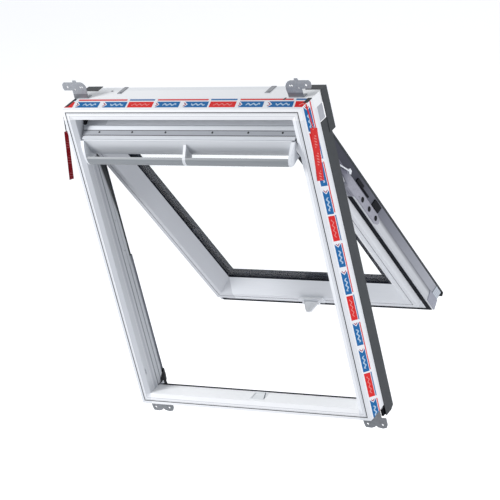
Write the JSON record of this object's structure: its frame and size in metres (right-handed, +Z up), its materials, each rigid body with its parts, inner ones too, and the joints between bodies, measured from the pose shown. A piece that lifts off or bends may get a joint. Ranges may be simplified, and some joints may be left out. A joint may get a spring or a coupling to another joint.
{
  "type": "roof window",
  "caption": "Roof window with a white timber frame, an outward-opening double-glazed sash hung near its top, a scooped control bar and grey metal covers.",
  "frame": {"origin": "midway between the two lower fixing holes nearest the frame's vertical edges, on the room face of the bracket plates", "axes": "+X to the right seen from the room, +Y out through the roof, +Z up the window along its jambs"},
  "size_m": [0.8412, 0.6003, 1.0988],
  "materials": {
    "white_timber": "white lacquer, satin",
    "anthracite_sheet": "matt powder coat",
    "bare_aluminium": "matt anodised",
    "white_metal": "satin light grey lacquer",
    "zinc_steel": "zinc plated, dull",
    "black_rubber": "matt",
    "black_plastic": "matt",
    "grey_plastic": "satin",
    "clear_glass": "clear",
    "collar_film": "printed film",
    "red_tape": "woven tape"
  },
  "bodies": {
    "frame": {"head": "white_timber", "sill": "white_timber", "keeper": "grey_plastic", "jamb_left": "white_timber", "jamb_right": "white_timber", "hinge_block_left": "grey_plastic", "hinge_block_right": "grey_plastic", "side_cover_left": "anthracite_sheet", "side_cover_right": "anthracite_sheet", "cover_plug_left": "black_plastic", "cover_plug_right": "black_plastic", "hood_left": "anthracite_sheet", "hood_right": "anthracite_sheet", "head_rail": "bare_aluminium", "head_clips": "bare_aluminium", "frame_seal_left": "black_rubber", "frame_seal_right": "black_rubber", "sill_seal": "black_rubber", "collar": "collar_film", "pull_tab_left": "red_tape", "pull_tab_right": "red_tape", "bracket_top_left": "zinc_steel", "bracket_top_right": "zinc_steel", "bracket_bottom_left": "zinc_steel", "bracket_bottom_right": "zinc_steel", "bracket_screws": "zinc_steel", "hinge_bearing_left": "zinc_steel", "hinge_bearing_right": "zinc_steel"},
    "sash": {"sash_stile_left": "white_timber", "sash_stile_right": "white_timber", "sash_rail_bottom": "white_timber", "sash_rail_top": "white_timber", "sash_foot": "white_timber", "foot_caps": "grey_plastic", "glazing_seal": "black_rubber", "glass_inner": "clear_glass", "glass_spacer": "black_plastic", "glass_outer": "clear_glass", "sash_cover_left": "anthracite_sheet", "sash_cover_right": "anthracite_sheet", "sash_cover_bottom": "anthracite_sheet", "sash_cover_top": "anthracite_sheet", "cover_tips": "black_plastic", "sash_seal": "black_rubber", "vent_strip": "bare_aluminium", "sash_screws": "zinc_steel", "hinge_arm_left": "zinc_steel", "hinge_arm_right": "zinc_steel", "arm_buffers": "black_plastic", "stay_rod_left": "zinc_steel", "stay_rod_right": "zinc_steel", "handle_base": "grey_plastic", "bar_ledge": "bare_aluminium"},
    "handle": {"handle_lever": "grey_plastic"},
    "bar": {"bar_sheet": "white_metal", "bar_grip": "white_metal", "bar_cap_left": "grey_plastic", "bar_cap_right": "grey_plastic"}
  },
  "joints": [
    {"name": "sash_swing", "type": "hinge", "parent": "frame", "child": "sash", "pos_m": [0, 0.051, 0.8698], "axis": [1, 0, 0], "range_deg": [-30, 15]},
    {"name": "handle_lift", "type": "hinge", "parent": "sash", "child": "handle", "pos_m": [0, 0.3856, 0.16925], "axis": [-1, 0, 0], "range_deg": [0, 55]},
    {"name": "bar_pull", "type": "hinge", "parent": "sash", "child": "bar", "pos_m": [0, -0.05496, 0.93333], "axis": [1, 0, 0], "range_deg": [-35, 0]}
  ]
}
